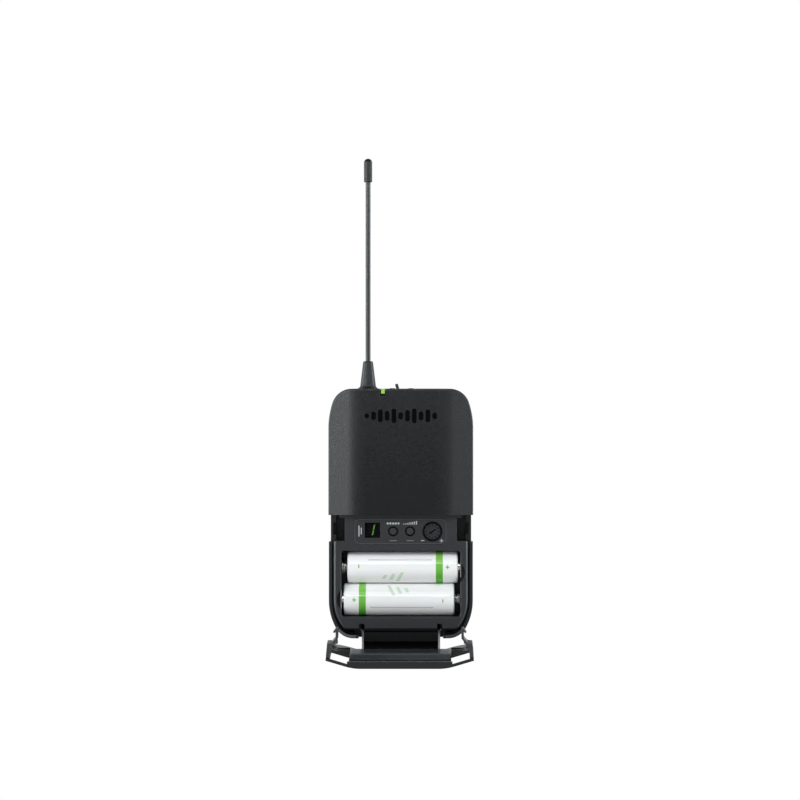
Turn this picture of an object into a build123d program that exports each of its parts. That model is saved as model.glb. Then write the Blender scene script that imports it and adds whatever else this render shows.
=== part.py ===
from build123d import *
import math
import os

os.makedirs("parts", exist_ok=True)

# ---------------------------------------------------------------- driving dimensions, mm
# Row frame: X to the wearer's-left side of the front view's right, Y from the front face to the back face, Z up.
# The origin is the middle of the back face.
HALF_W = 31.95          # half of the pack's width at the lower skirt
TOP_Z, BOT_Z = 54.5, -55.6
FRONT_Y = -21.0         # flat of the front
PART_Y = -8.5           # parting line between front mouldings and rear housing
WALL, DOOR_WALL = 1.5, 1.2
DRAFT = 0.106           # side draft, mm per mm of depth
FACET_X, FACET_Y = 20.22, 0.2989   # where the front's side facets start, and their slope
FACET_EDGE = (32.1, -17.45)
COVER_LOW_Z = -1.0
SKIRT_TOP_Z = -12.9     # upper end of the rear housing's raised skirt
FACE_Y = -17.0          # chassis face
HINGE_Y, HINGE_Z = -10.6, -52.0
OPEN_DEG = 94.5         # door's open stop
CELL_R, CELL_LEN, CELL_Y = 7.15, 49.0, -9.3
CELL_Z_UP, CELL_Z_LOW = -24.25, -38.65
BAY_W, BAY_H, BAY_Z = 52.6, 29.1, -31.45
BOARD_Y0, BOARD_Y1 = -12.4, -11.0
DECK_Y = -10.5          # line of aerial, switch and socket on the top
AERIAL_X, LED_X, LEVER_X, JACK_X = -14.6, -7.85, 0.3, 17.0
DIAL_X, DIAL_Z = 14.0, -8.3
GROUP_X, CHANNEL_X, BUTTON_Z = -3.4, 4.1, -8.2
WINDOW_X, WINDOW_Z, WINDOW_W = -12.55, -7.75, 6.7

# ---------------------------------------------------------------- outline of the front view: straight sides joined to
# flat ends by two tangent arcs at each corner
BA, BR1, BC1 = math.radians(28.56), 25.1, (HALF_W - 25.1, -39.0)
BR2 = (BC1[1] - BR1 * math.sin(BA) - BOT_Z) / (1 - math.sin(BA))
BC2 = (BC1[0] + (BR1 - BR2) * math.cos(BA), BC1[1] - (BR1 - BR2) * math.sin(BA))
TA, TR1, TC1 = math.radians(18.94), 34.5, (HALF_W - 34.5, 37.5)
TR2 = (TOP_Z - TC1[1] - TR1 * math.sin(TA)) / (1 - math.sin(TA))
TC2 = (TC1[0] + (TR1 - TR2) * math.cos(TA), TC1[1] + (TR1 - TR2) * math.sin(TA))


def outline(d):
    """The pack's front-view outline moved in by d, as a face of the sketch in progress."""
    with BuildLine() as rim:
        Line((0, BOT_Z + d), (BC2[0], BOT_Z + d))
        CenterArc(BC2, BR2 - d, -90, 90 - math.degrees(BA))
        CenterArc(BC1, BR1 - d, -math.degrees(BA), math.degrees(BA))
        Line((HALF_W - d, BC1[1]), (HALF_W - d, TC1[1]))
        CenterArc(TC1, TR1 - d, 0, math.degrees(TA))
        CenterArc(TC2, TR2 - d, math.degrees(TA), 90 - math.degrees(TA))
        Line((TC2[0], TOP_Z - d), (0, TOP_Z - d))
        mirror(rim.line, about=Plane.YZ)
    make_face(rim.edges())


def front_section(inset, back_y, half):
    """Plan section of the front mouldings: flat middle, a wide blend, and a facet falling back to each side."""
    k = math.sqrt(1 + FACET_Y**2)
    front = FRONT_Y + inset
    knee = FACET_X - inset * (k - 1) / FACET_Y
    side_y = front + (half - knee) * FACET_Y
    with BuildLine() as section:
        Polyline((-half, back_y), (half, back_y), (half, side_y), (knee, front), (-knee, front), (-half, side_y), close=True)
    make_face(section.edges())


# ================================================================ rear housing
with BuildPart() as rear_housing:
    with BuildSketch(Plane.XZ):
        outline(0.75)
    extrude(amount=-PART_Y)
    fillet(rear_housing.edges().group_by(Axis.Y)[-1], 3.0)
    # raised skirt that carries the door's side walls
    with BuildSketch(Plane.XZ.offset(4.2)):
        outline(0.05)
        with Locations((0, SKIRT_TOP_Z + 50)):
            Rectangle(100, 100, mode=Mode.SUBTRACT)
    extrude(amount=10.4)
    # lips that close the underside on each side of the hinge
    with BuildSketch(Plane.XZ.offset(14.6)):
        outline(0.05)
        with Locations((0, -51.6 + 80)):
            Rectangle(100, 160, mode=Mode.SUBTRACT)
    extrude(amount=3.9)
    # fronts of the lips fall back inside the door's facets
    with BuildSketch(Plane.XY.offset(-60)):
        for sx in (-1, 1):
            with BuildLine():
                Polyline((sx * 20.2, -18.1), (sx * 36, -12.65), (sx * 36, -22), (sx * 20.2, -22), close=True)
            make_face()
    extrude(amount=8.45, mode=Mode.SUBTRACT)
    # inside
    with BuildSketch(Plane.XZ.offset(1.4)):
        outline(2.2)
    extrude(amount=30, mode=Mode.SUBTRACT)
    with BuildSketch(Plane.XZ.offset(-PART_Y)):
        outline(1.45)
        with Locations((0, SKIRT_TOP_Z + 50)):
            Rectangle(100, 100, mode=Mode.SUBTRACT)
    extrude(amount=20, mode=Mode.SUBTRACT)
    # thick walls beside the latch pockets, each with a notch for the hook's nose
    with BuildSketch(Plane.XZ.offset(1.3)):
        with Locations((29.4, -6.55), (-29.4, -6.55)):
            Rectangle(1.4, 11.9)
    extrude(amount=7.2)
    with BuildSketch(Plane.XZ.offset(2.6)):
        with Locations((29.3, -7.25), (-29.3, -7.25)):
            Rectangle(1.3, 5.5)
    extrude(amount=6.2, mode=Mode.SUBTRACT)
    # underside open between the lips for the door's hinge wall
    with BuildSketch(Plane.XZ.offset(6.55)):
        with Locations((0, -54)):
            Rectangle(37.4, 8)
    extrude(amount=20, mode=Mode.SUBTRACT)
    # upper end open for the cover's deck
    with BuildSketch(Plane.XZ.offset(2.65)):
        with Locations((0, 54.8)):
            Rectangle(48.1, 6)
    extrude(amount=10, mode=Mode.SUBTRACT)
    # lugs for the wire clip
    with BuildSketch(Plane.XZ.offset(-4.4)):
        with Locations((17.2, 31), (-17.2, 31)):
            RectangleRounded(5.0, 7.4, 1.2)
    extrude(amount=4.6)
    with BuildSketch(Plane.YZ.offset(-21)):
        with Locations((2.3, 31)):
            Circle(1.05)
    extrude(amount=42, mode=Mode.SUBTRACT)
    # belt pads: two shallow raised bars
    with BuildSketch(Plane.XZ.offset(-0.5)):
        with Locations((0, -6), (0, 6)):
            RectangleRounded(18, 2.2, 1.0)
    extrude(amount=0.7)
    # screw holes, counterbored
    for x, z in ((26.2, 40), (-26.2, 40), (22.5, -48.4), (-22.5, -48.4)):
        with Locations(Plane(origin=(x, 0, z), x_dir=(1, 0, 0), z_dir=(0, 1, 0))):
            CounterBoreHole(radius=1.25, counter_bore_radius=2.3, counter_bore_depth=0.8, depth=3)
rear_housing.part.label = "rear_housing"

# ================================================================ chassis frame
CR1, CC1, CA = 19.0, (10.6, -39.0), math.radians(38)
CHASSIS_BOT = -51.8
CR2 = (CC1[1] - CR1 * math.sin(CA) - CHASSIS_BOT) / (1 - math.sin(CA))
CC2 = (CC1[0] + (CR1 - CR2) * math.cos(CA), CC1[1] - (CR1 - CR2) * math.sin(CA))
with BuildPart() as chassis_frame:
    with BuildSketch(Plane.XZ.offset(1.45)):
        with BuildLine() as edge:
            Line((0, CHASSIS_BOT), (CC2[0], CHASSIS_BOT))
            CenterArc(CC2, CR2, -90, 90 - math.degrees(CA))
            CenterArc(CC1, CR1, -math.degrees(CA), math.degrees(CA))
            Line((CC1[0] + CR1, CC1[1]), (CC1[0] + CR1, 3.5))
            Line((CC1[0] + CR1, 3.5), (0, 3.5))
            mirror(edge.line, about=Plane.YZ)
        make_face()
    extrude(amount=-FACE_Y - 1.45)
    chamfer(chassis_frame.edges().group_by(Axis.Y)[0], 0.7)
    # latch pockets, open to the sides
    with BuildSketch(Plane.XZ.offset(1.4)):
        with Locations((28.8, -7.4), (-28.8, -7.4)):
            Rectangle(8.0, 10.4)
        with Locations((30.0, 1.0), (-30.0, 1.0)):
            Rectangle(6.0, 6.4)
    extrude(amount=20, mode=Mode.SUBTRACT)
    # electronics compartment, open at the back and top
    with BuildSketch(Plane.XZ.offset(1.4)):
        with Locations((0, -4.7)):
            Rectangle(47.2, 19.4)
    extrude(amount=-FACE_Y - 1.4 - WALL, mode=Mode.SUBTRACT)
    # battery bay with a chamfered mouth
    with BuildSketch(Plane.XZ.offset(2.05)):
        with Locations((0, BAY_Z)):
            RectangleRounded(BAY_W, BAY_H, 1.3)
    extrude(amount=20, mode=Mode.SUBTRACT)
    with BuildSketch(Plane.XZ.offset(-FACE_Y - 0.5)):
        with Locations((0, BAY_Z)):
            RectangleRounded(BAY_W, BAY_H, 1.3)
    extrude(amount=0.6, taper=-42, mode=Mode.SUBTRACT)
    # finger scoops beside the positive ends
    with BuildSketch(Plane.XZ.offset(11.5)):
        with Locations((22.9, -26.6), (-22.9, -38.6)):
            Circle(5.6)
    extrude(amount=8, mode=Mode.SUBTRACT)
    # slots for the contact plates in the bay's end walls
    with BuildSketch(Plane.XZ.offset(5.0)):
        with Locations((26.5, CELL_Z_UP), (-26.5, CELL_Z_LOW), (26.5, CELL_Z_LOW), (-26.5, CELL_Z_UP)):
            Rectangle(0.7, 9.2)
    extrude(amount=8.5, mode=Mode.SUBTRACT)
    # recess for the panel overlay, and the holes through it
    with BuildSketch(Plane.XZ.offset(-FACE_Y - 0.35)):
        with Locations((-0.15, -8.27)):
            RectangleRounded(41.5, 11.55, 2.7)
    extrude(amount=1, mode=Mode.SUBTRACT)
    with BuildSketch(Plane.XZ.offset(14)):
        with Locations((WINDOW_X, WINDOW_Z)):
            Rectangle(WINDOW_W + 0.1, WINDOW_W + 0.1)
        with Locations((GROUP_X, BUTTON_Z), (CHANNEL_X, BUTTON_Z)):
            Circle(2.15)
        with Locations((DIAL_X, DIAL_Z)):
            Circle(4.25)
    extrude(amount=4, mode=Mode.SUBTRACT)
    # room for the hinge, the slots beside it, and the ears that hold its pins
    with BuildSketch(Plane.XZ.offset(1.4)):
        with Locations((0, -51.6)):
            Rectangle(35.2, 6)
    extrude(amount=12.2, mode=Mode.SUBTRACT)
    with BuildSketch(Plane.XZ.offset(13)):
        with Locations((17.25, -51.2), (-17.25, -51.2)):
            Rectangle(2.5, 4)
    extrude(amount=6, mode=Mode.SUBTRACT)
    with BuildSketch(Plane.YZ.offset(17.8)):
        with BuildLine():
            Polyline((-12.2, -50.0), (-12.2, HINGE_Z), (-11.5, -53.3), (-9.7, -53.3), (-9.0, HINGE_Z), (-9.0, -50.0), close=True)
        make_face()
    extrude(amount=2.4)
    with BuildSketch(Plane.YZ.offset(-20.2)):
        with BuildLine():
            Polyline((-12.2, -50.0), (-12.2, HINGE_Z), (-11.5, -53.3), (-9.7, -53.3), (-9.0, HINGE_Z), (-9.0, -50.0), close=True)
        make_face()
    extrude(amount=2.4)
    with BuildSketch(Plane.YZ.offset(-21)):
        with Locations((HINGE_Y, HINGE_Z)):
            Circle(0.61)
    extrude(amount=42, mode=Mode.SUBTRACT)
    # screw holes from the back
    with BuildSketch(Plane.XZ.offset(1.4)):
        with Locations((22.5, -48.4), (-22.5, -48.4)):
            Circle(1.15)
    extrude(amount=9, mode=Mode.SUBTRACT)
chassis_frame.part.label = "chassis_frame"

# ================================================================ top cover
with BuildPart() as cover_core:
    with BuildSketch(Plane.XY.offset(-10)):
        front_section(WALL, -8.0, 36)
    extrude(amount=70)
    with BuildSketch(Plane.XZ.offset(7.0)):
        outline(0.8 - DRAFT * (7.0 - 8.5) + 1.6)
    with BuildSketch(Plane.XZ.offset(21.5)):
        outline(0.8 - DRAFT * (21.5 - 8.5) + 1.6)
    loft(ruled=True, mode=Mode.INTERSECT)

with BuildPart() as top_cover:
    with BuildSketch(Plane.XY.offset(COVER_LOW_Z)):
        front_section(0, PART_Y, 36)
    extrude(amount=60)
    fillet(top_cover.edges().filter_by(Axis.Z).filter_by_position(Axis.Y, FRONT_Y - 0.1, FRONT_Y + 0.1), 23)
    with BuildSketch(Plane.XZ.offset(8.5)):
        outline(0.8)
    with BuildSketch(Plane.XZ.offset(21.5)):
        outline(0.8 - DRAFT * 13)
    loft(ruled=True, mode=Mode.INTERSECT)
    # round the front's outer edge: the long side edges and the crown
    crown = [e for e in top_cover.edges() if e.center().Y < -16.2 and e.center().Z > 1.0
             and not (e.geom_type == GeomType.LINE and abs((e @ 0).Z - (e @ 1).Z) > 5 and abs(e.center().X) < 27)]
    fillet(crown, 0.7)
    add(cover_core.part, mode=Mode.SUBTRACT)
    # deck of the upper end, reaching back to the rear housing
    with BuildSketch(Plane.XZ.offset(2.7)):
        outline(0.85)
        with Locations((0, 51.9 + 5)):
            Rectangle(47.9, 10, mode=Mode.INTERSECT)
    extrude(amount=15.8)
    # flat seat under the aerial's boot
    with BuildSketch(Plane.XY.offset(53.0)):
        with Locations((AERIAL_X, DECK_Y)):
            Circle(5.0)
    extrude(amount=1.0)
    # bosses for the housing screws and posts for the board
    with BuildSketch(Plane.XZ.offset(1.5)):
        with Locations((26.2, 40), (-26.2, 40)):
            Circle(2.6)
    extrude(amount=16.6)
    with BuildSketch(Plane.XZ.offset(-BOARD_Y0 + 0.05)):
        with Locations((20, 6), (-20, 6)):
            Circle(2.2)
    extrude(amount=7.6)
    with BuildSketch(Plane.XZ.offset(1.4)):
        with Locations((26.2, 40), (-26.2, 40)):
            Circle(1.15)
    extrude(amount=12, mode=Mode.SUBTRACT)
    with BuildSketch(Plane.XZ.offset(12)):
        with Locations((20, 6), (-20, 6)):
            Circle(0.85)
    extrude(amount=5.5, mode=Mode.SUBTRACT)
    # guards beside the power lever
    with BuildSketch(Plane.XY.offset(53.2)):
        with Locations((-3.75, DECK_Y), (4.45, DECK_Y)):
            RectangleRounded(2.2, 5.4, 0.8)
    extrude(amount=1.95)
    # holes of the deck: aerial, lever slot, socket with its flange recess
    with BuildSketch(Plane.XY.offset(50)):
        with Locations((AERIAL_X, DECK_Y)):
            Circle(3.3)
        with Locations((LEVER_X, DECK_Y)):
            RectangleRounded(5.5, 2.6, 0.3)
        with Locations((JACK_X, DECK_Y)):
            Circle(5.25)
    extrude(amount=10, mode=Mode.SUBTRACT)
    with BuildSketch(Plane.XY.offset(54.0)):
        with Locations((AERIAL_X, DECK_Y)):
            Circle(4.85)
    extrude(amount=4, mode=Mode.SUBTRACT)
    with BuildSketch(Plane.XY.offset(53.4)):
        with Locations((JACK_X, DECK_Y)):
            Circle(6.05)
    extrude(amount=4, mode=Mode.SUBTRACT)
    # slot for the status light at the crown's edge
    with BuildSketch(Plane.XZ.offset(16.2)):
        with Locations((LED_X, 53.9)):
            Rectangle(2.3, 4.1)
    extrude(amount=8, mode=Mode.SUBTRACT)
top_cover.part.label = "top_cover"

# ================================================================ generic front mark: a row of level bars
MARK = (1.6, 3.2, 5.2, 3.8, 5.9, 2.6, 4.6, 5.9, 3.4, 5.2, 2.4)
with BuildPart() as front_mark:
    with BuildSketch(Plane.XZ.offset(-FRONT_Y)):
        for i, h in enumerate(MARK):
            with Locations(((i - 5) * 3.0, 42.9)):
                SlotOverall(h + 0.51, 2.0, rotation=90)
    extrude(amount=0.12)
front_mark.part.label = "front_mark"

# ================================================================ control panel
with BuildPart() as panel_overlay:
    with BuildSketch(Plane.XZ.offset(-FACE_Y - 0.34)):
        with Locations((-0.15, -8.27)):
            RectangleRounded(41.3, 11.35, 2.6)
        with Locations((WINDOW_X, WINDOW_Z)):
            Rectangle(WINDOW_W + 0.1, WINDOW_W + 0.1, mode=Mode.SUBTRACT)
        with Locations((GROUP_X, BUTTON_Z), (CHANNEL_X, BUTTON_Z)):
            Circle(2.15, mode=Mode.SUBTRACT)
        with Locations((DIAL_X, DIAL_Z)):
            Circle(4.25, mode=Mode.SUBTRACT)
    extrude(amount=0.3)
panel_overlay.part.label = "panel_overlay"

with BuildPart() as display_window:
    with BuildSketch(Plane.XZ.offset(15.75)):
        with Locations((WINDOW_X, WINDOW_Z)):
            RectangleRounded(WINDOW_W, WINDOW_W, 0.2)
    extrude(amount=1.15)
display_window.part.label = "display_window"

with BuildPart() as display_module:
    with BuildSketch(Plane.XZ.offset(-BOARD_Y0 + 0.02)):
        with Locations((WINDOW_X, WINDOW_Z)):
            Rectangle(7.4, 9.6)
    extrude(amount=3.0)
    chamfer(display_module.edges().group_by(Axis.Y)[0], 0.25)
display_module.part.label = "display_module"

# the two lit strokes of a slanted figure one
with BuildPart() as digit_segments:
    with BuildSketch(Plane.XZ.offset(-BOARD_Y0 + 3.02)):
        with BuildLine():
            Polyline((-12.0, -5.55), (-11.35, -5.25), (-11.75, -7.35), (-12.4, -7.65), close=True)
        make_face()
        with BuildLine():
            Polyline((-12.45, -8.0), (-11.8, -7.7), (-12.25, -9.75), (-12.9, -10.05), close=True)
        make_face()
    extrude(amount=0.15)
digit_segments.part.label = "digit_segments"

with BuildPart() as group_button:
    with BuildSketch(Plane.XZ.offset(15.3)):
        with Locations((GROUP_X, BUTTON_Z)):
            Circle(1.65)
    extrude(amount=1.6)
    chamfer(group_button.edges().group_by(Axis.Y)[0], 0.2)
    with BuildSketch(Plane.XZ.offset(14.8)):
        with Locations((GROUP_X, BUTTON_Z)):
            Circle(0.8)
    extrude(amount=0.6)
group_button.part.label = "group_button"

with BuildPart() as channel_button:
    with BuildSketch(Plane.XZ.offset(15.3)):
        with Locations((CHANNEL_X, BUTTON_Z)):
            Circle(1.65)
    extrude(amount=1.6)
    chamfer(channel_button.edges().group_by(Axis.Y)[0], 0.2)
    with BuildSketch(Plane.XZ.offset(14.8)):
        with Locations((CHANNEL_X, BUTTON_Z)):
            Circle(0.8)
    extrude(amount=0.6)
channel_button.part.label = "channel_button"

with BuildPart() as group_switch:
    with BuildSketch(Plane.XZ.offset(-BOARD_Y0 + 0.02)):
        with Locations((GROUP_X, BUTTON_Z)):
            Rectangle(4.6, 4.6)
    extrude(amount=1.4)
    with BuildSketch(Plane.XZ.offset(13.7)):
        with Locations((GROUP_X, BUTTON_Z)):
            Circle(1.1)
    extrude(amount=0.6)
group_switch.part.label = "group_switch"

with BuildPart() as channel_switch:
    with BuildSketch(Plane.XZ.offset(-BOARD_Y0 + 0.02)):
        with Locations((CHANNEL_X, BUTTON_Z)):
            Rectangle(4.6, 4.6)
    extrude(amount=1.4)
    with BuildSketch(Plane.XZ.offset(13.7)):
        with Locations((CHANNEL_X, BUTTON_Z)):
            Circle(1.1)
    extrude(amount=0.6)
channel_switch.part.label = "channel_switch"

# dial with an arrow-shaped driver slot pointing to the lower left, and a ring of twelve dimples
with BuildPart() as gain_dial:
    with BuildSketch(Plane.XZ.offset(15.1)):
        with Locations((DIAL_X, DIAL_Z)):
            Circle(3.65)
    extrude(amount=1.75)
    chamfer(gain_dial.edges().group_by(Axis.Y)[0], 0.25)
    with BuildSketch(Plane.XZ.offset(16.05)):
        with Locations((DIAL_X, DIAL_Z)):
            with PolarLocations(2.85, 12):
                Circle(0.33)
    extrude(amount=1, mode=Mode.SUBTRACT)
    arrow = Plane(origin=(DIAL_X, -15.95, DIAL_Z), x_dir=(math.cos(math.radians(-146)), 0, math.sin(math.radians(-146))), z_dir=(0, -1, 0))
    with BuildSketch(arrow):
        with BuildLine():
            Polyline((2.0, 0), (0.75, 0.85), (0.75, 0.3), (-1.9, 0.3), (-1.9, -0.3), (0.75, -0.3), (0.75, -0.85), close=True)
        make_face()
    extrude(amount=1, mode=Mode.SUBTRACT)
    with BuildSketch(Plane.XZ.offset(13.4)):
        with Locations((DIAL_X, DIAL_Z)):
            Circle(1.2)
    extrude(amount=1.8)
gain_dial.part.label = "gain_dial"

with BuildPart() as gain_pot_body:
    with BuildSketch(Plane.XZ.offset(-BOARD_Y0 + 0.02)):
        with Locations((DIAL_X, DIAL_Z)):
            RectangleRounded(9.0, 9.0, 0.8)
    extrude(amount=2.3)
    with BuildSketch(Plane.XZ.offset(13.0)):
        with Locations((DIAL_X, DIAL_Z)):
            Circle(1.25)
    extrude(amount=4, mode=Mode.SUBTRACT)
gain_pot_body.part.label = "gain_pot_body"

# ================================================================ main board and what it carries
with BuildPart() as main_board:
    with BuildSketch(Plane.XZ.offset(-BOARD_Y1)):
        with BuildLine():
            Polyline((-23.3, -14.2), (23.3, -14.2), (23.3, 4.0), (28.2, 4.0), (28.2, 35.6), (9.8, 35.6), (9.8, 51.0), (-24.0, 51.0), (-24.0, 44.0), (-28.2, 35.6), (-28.2, 4.0), (-23.3, 4.0), close=True)
        make_face()
        # clearances round the switch and the aerial's socket
        with Locations((LEVER_X, 48.6)):
            Rectangle(8.6, 7.2, mode=Mode.SUBTRACT)
        with Locations((AERIAL_X, 50)):
            Rectangle(7.4, 6, mode=Mode.SUBTRACT)
        with Locations((20, 6), (-20, 6)):
            Circle(1.1, mode=Mode.SUBTRACT)
        with Locations((-26.2, 40)):
            Circle(3.0, mode=Mode.SUBTRACT)
    extrude(amount=BOARD_Y1 - BOARD_Y0)
main_board.part.label = "main_board"

with BuildPart() as rf_shield:
    with BuildSketch(Plane.XZ.offset(-BOARD_Y0 + 0.02)):
        with Locations((-8, 26)):
            RectangleRounded(24, 20, 1.0)
    extrude(amount=3.2)
    fillet(rf_shield.edges().group_by(Axis.Y)[0], 0.4)
    with BuildSketch(Plane.XZ.offset(-BOARD_Y0)):
        with Locations((-8, 26)):
            RectangleRounded(23.5, 19.5, 0.8)
    extrude(amount=3.0, mode=Mode.SUBTRACT)
rf_shield.part.label = "rf_shield"

with BuildPart() as board_chips:
    with BuildSketch(Plane.XZ.offset(-BOARD_Y0 + 0.02)):
        with Locations((16, 26)):
            Rectangle(9, 9)
        with Locations((16, 14)):
            Rectangle(7, 5)
        with Locations((-8, 8.5)):
            Rectangle(10, 6)
        with Locations((5.4, 9)):
            Rectangle(4, 4)
        with Locations((-24.5, 26)):
            Rectangle(3.2, 8)
    extrude(amount=1.3)
    with BuildSketch(Plane.XZ.offset(-BOARD_Y1 - 2.42)):
        with Locations((-12, 0)):
            Rectangle(12, 12)
        with Locations((6, -4)):
            Rectangle(8, 5)
        with Locations((14, 20)):
            Rectangle(12, 9)
    extrude(amount=2.4)
board_chips.part.label = "board_chips"

with BuildPart() as status_led:
    with BuildSketch(Plane.XZ.offset(-BOARD_Y0 + 0.02)):
        with Locations((LED_X, 49.4)):
            Rectangle(1.6, 2.4)
    extrude(amount=1.1)
status_led.part.label = "status_led"

# light pipe: a clear bar at the crown's edge with a tail down to the lamp
with BuildPart() as light_pipe:
    with BuildSketch(Plane.YZ.offset(LED_X - 1.0)):
        with BuildLine():
            Polyline((-20.95, 52.2), (-20.95, 54.45), (-20.45, 54.92), (-16.4, 54.5), (-16.4, 52.0), (-17.9, 52.0), (-17.9, 50.2), (-13.7, 50.2), (-13.7, 48.6), (-19.2, 48.6), (-19.2, 52.2), close=True)
        make_face()
    extrude(amount=2.0)
light_pipe.part.label = "light_pipe"

# ================================================================ power switch
with BuildPart() as power_switch_body:
    with BuildSketch(Plane.XZ.offset(7.6)):
        with Locations((LEVER_X, 48.6)):
            RectangleRounded(7.6, 5.0, 0.4)
    extrude(amount=5.8)
    with BuildSketch(Plane.XZ.offset(8.6)):
        with Locations((LEVER_X, 49.4)):
            Circle(1.25)
        with Locations((LEVER_X, 50.9)):
            Rectangle(1.8, 2.6)
    extrude(amount=3.8, mode=Mode.SUBTRACT)
    with BuildSketch(Plane.XZ.offset(9.3)):
        with BuildLine():
            Polyline((LEVER_X - 1.25, 49.4), (LEVER_X + 1.25, 49.4), (LEVER_X + 2.4, 52.5), (LEVER_X - 2.4, 52.5), close=True)
        make_face()
    extrude(amount=2.4, mode=Mode.SUBTRACT)
power_switch_body.part.label = "power_switch_body"

LEAN = math.radians(17)
stick = Plane(origin=(LEVER_X, DECK_Y, 49.4), x_dir=(math.cos(LEAN), 0, math.sin(LEAN)), z_dir=(-math.sin(LEAN), 0, math.cos(LEAN)))
with BuildPart() as power_lever:
    with BuildSketch(Plane.XZ.offset(8.75)):
        with Locations((LEVER_X, 49.4)):
            Circle(1.2)
    extrude(amount=3.5)
    with BuildSketch(stick):
        RectangleRounded(1.2, 1.4, 0.4)
    with BuildSketch(stick.offset(8.0)):
        RectangleRounded(1.35, 1.9, 0.45)
    loft()
    fillet(power_lever.edges().group_by(Axis.Z)[-1], 0.3)
power_lever.part.label = "power_lever"

# ================================================================ microphone socket
with BuildPart() as jack_sleeve:
    with BuildSketch(Plane.XY.offset(41)):
        with Locations((JACK_X, DECK_Y)):
            Circle(5.2)
            Circle(4.3, mode=Mode.SUBTRACT)
    extrude(amount=12.9)
    with BuildSketch(Plane.XY.offset(53.43)):
        with Locations((JACK_X, DECK_Y)):
            Circle(5.95)
            Circle(4.3, mode=Mode.SUBTRACT)
    extrude(amount=0.5)
    # key slot in the bore
    with BuildSketch(Plane.XY.offset(46.5)):
        with Locations((JACK_X, DECK_Y - 4.3)):
            Rectangle(1.6, 1.0)
    extrude(amount=10, mode=Mode.SUBTRACT)
jack_sleeve.part.label = "jack_sleeve"

with BuildPart() as jack_insert:
    with BuildSketch(Plane.XY.offset(41.2)):
        with Locations((JACK_X, DECK_Y)):
            Circle(4.28)
            with PolarLocations(2.3, 4, start_angle=45):
                Circle(0.37, mode=Mode.SUBTRACT)
    extrude(amount=5.2)
jack_insert.part.label = "jack_insert"

with BuildPart() as jack_pins:
    # solder tails through the insulator, then the full-width contacts
    with BuildSketch(Plane.XY.offset(39.4)):
        with Locations((JACK_X, DECK_Y)):
            with PolarLocations(2.3, 4, start_angle=45):
                Circle(0.35)
    extrude(amount=7.2)
    with BuildSketch(Plane.XY.offset(46.42)):
        with Locations((JACK_X, DECK_Y)):
            with PolarLocations(2.3, 4, start_angle=45):
                Circle(0.5)
    extrude(amount=5.88)
jack_pins.part.label = "jack_pins"

with BuildPart() as jack_nut:
    with BuildSketch(Plane.XY.offset(49.8)):
        with Locations((JACK_X, DECK_Y)):
            RegularPolygon(6.9, 6)
            Circle(5.23, mode=Mode.SUBTRACT)
    extrude(amount=2.0)
jack_nut.part.label = "jack_nut"

# ================================================================ aerial
with BuildPart() as aerial_socket:
    with BuildSketch(Plane.XY.offset(47.6)):
        with Locations((AERIAL_X, DECK_Y)):
            Circle(3.25)
            Circle(1.2, mode=Mode.SUBTRACT)
    extrude(amount=6.4)
aerial_socket.part.label = "aerial_socket"

with BuildPart() as aerial_boot:
    with BuildSketch(Plane(origin=(AERIAL_X, DECK_Y, 0), x_dir=(1, 0, 0), z_dir=(0, -1, 0))):
        with BuildLine():
            Polyline((1.13, 54.03), (4.7, 54.03), (4.7, 54.95), (4.35, 55.2))
            ThreePointArc((4.35, 55.2), (3.65, 55.75), (3.4, 56.7))
            Polyline((3.4, 56.7), (2.2, 66.7), (1.9, 67.1), (1.13, 67.1), (1.13, 54.03))
        make_face()
    revolve(axis=Axis((AERIAL_X, DECK_Y, 0), (0, 0, 1)))
aerial_boot.part.label = "aerial_boot"

with BuildPart() as aerial_whip:
    with BuildSketch(Plane.XY.offset(49.0)):
        with Locations((AERIAL_X, DECK_Y)):
            Circle(1.1)
    extrude(amount=99.6)
aerial_whip.part.label = "aerial_whip"

with BuildPart() as aerial_tip:
    with BuildSketch(Plane(origin=(AERIAL_X, DECK_Y, 0), x_dir=(1, 0, 0), z_dir=(0, -1, 0))):
        with BuildLine():
            Polyline((0, 148.65), (1.13, 148.65), (1.13, 146.6), (1.7, 146.6), (1.85, 146.9), (1.85, 155.25))
            ThreePointArc((1.85, 155.25), (1.85 * math.sqrt(0.5), 155.25 + 1.85 * math.sqrt(0.5)), (0, 157.1))
            Line((0, 157.1), (0, 148.65))
        make_face()
    revolve(axis=Axis((AERIAL_X, DECK_Y, 0), (0, 0, 1)))
aerial_tip.part.label = "aerial_tip"

# ================================================================ screws
with BuildPart() as housing_screws:
    with BuildSketch(Plane.XZ.offset(0.06)):
        with Locations((26.2, 40), (-26.2, 40), (22.5, -48.4), (-22.5, -48.4)):
            Circle(2.2)
    extrude(amount=0.7)
    with BuildSketch(Plane.XZ.offset(0.06)):
        for x, z in ((26.2, 40), (-26.2, 40), (22.5, -48.4), (-22.5, -48.4)):
            with Locations((x, z)):
                Rectangle(2.4, 0.6, rotation=45)
                Rectangle(2.4, 0.6, rotation=-45)
    extrude(amount=0.4, mode=Mode.SUBTRACT)
    with BuildSketch(Plane.XZ.offset(0.5)):
        with Locations((26.2, 40), (-26.2, 40), (22.5, -48.4), (-22.5, -48.4)):
            Circle(1.1)
    extrude(amount=8.6)
housing_screws.part.label = "housing_screws"

with BuildPart() as board_screws:
    with BuildSketch(Plane.XZ.offset(-BOARD_Y1 - 0.92)):
        with Locations((20, 6), (-20, 6)):
            Circle(1.9)
    extrude(amount=0.9)
    with BuildSketch(Plane.XZ.offset(-BOARD_Y1 - 0.1)):
        with Locations((20, 6), (-20, 6)):
            Circle(0.8)
    extrude(amount=5.6)
board_screws.part.label = "board_screws"

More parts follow.
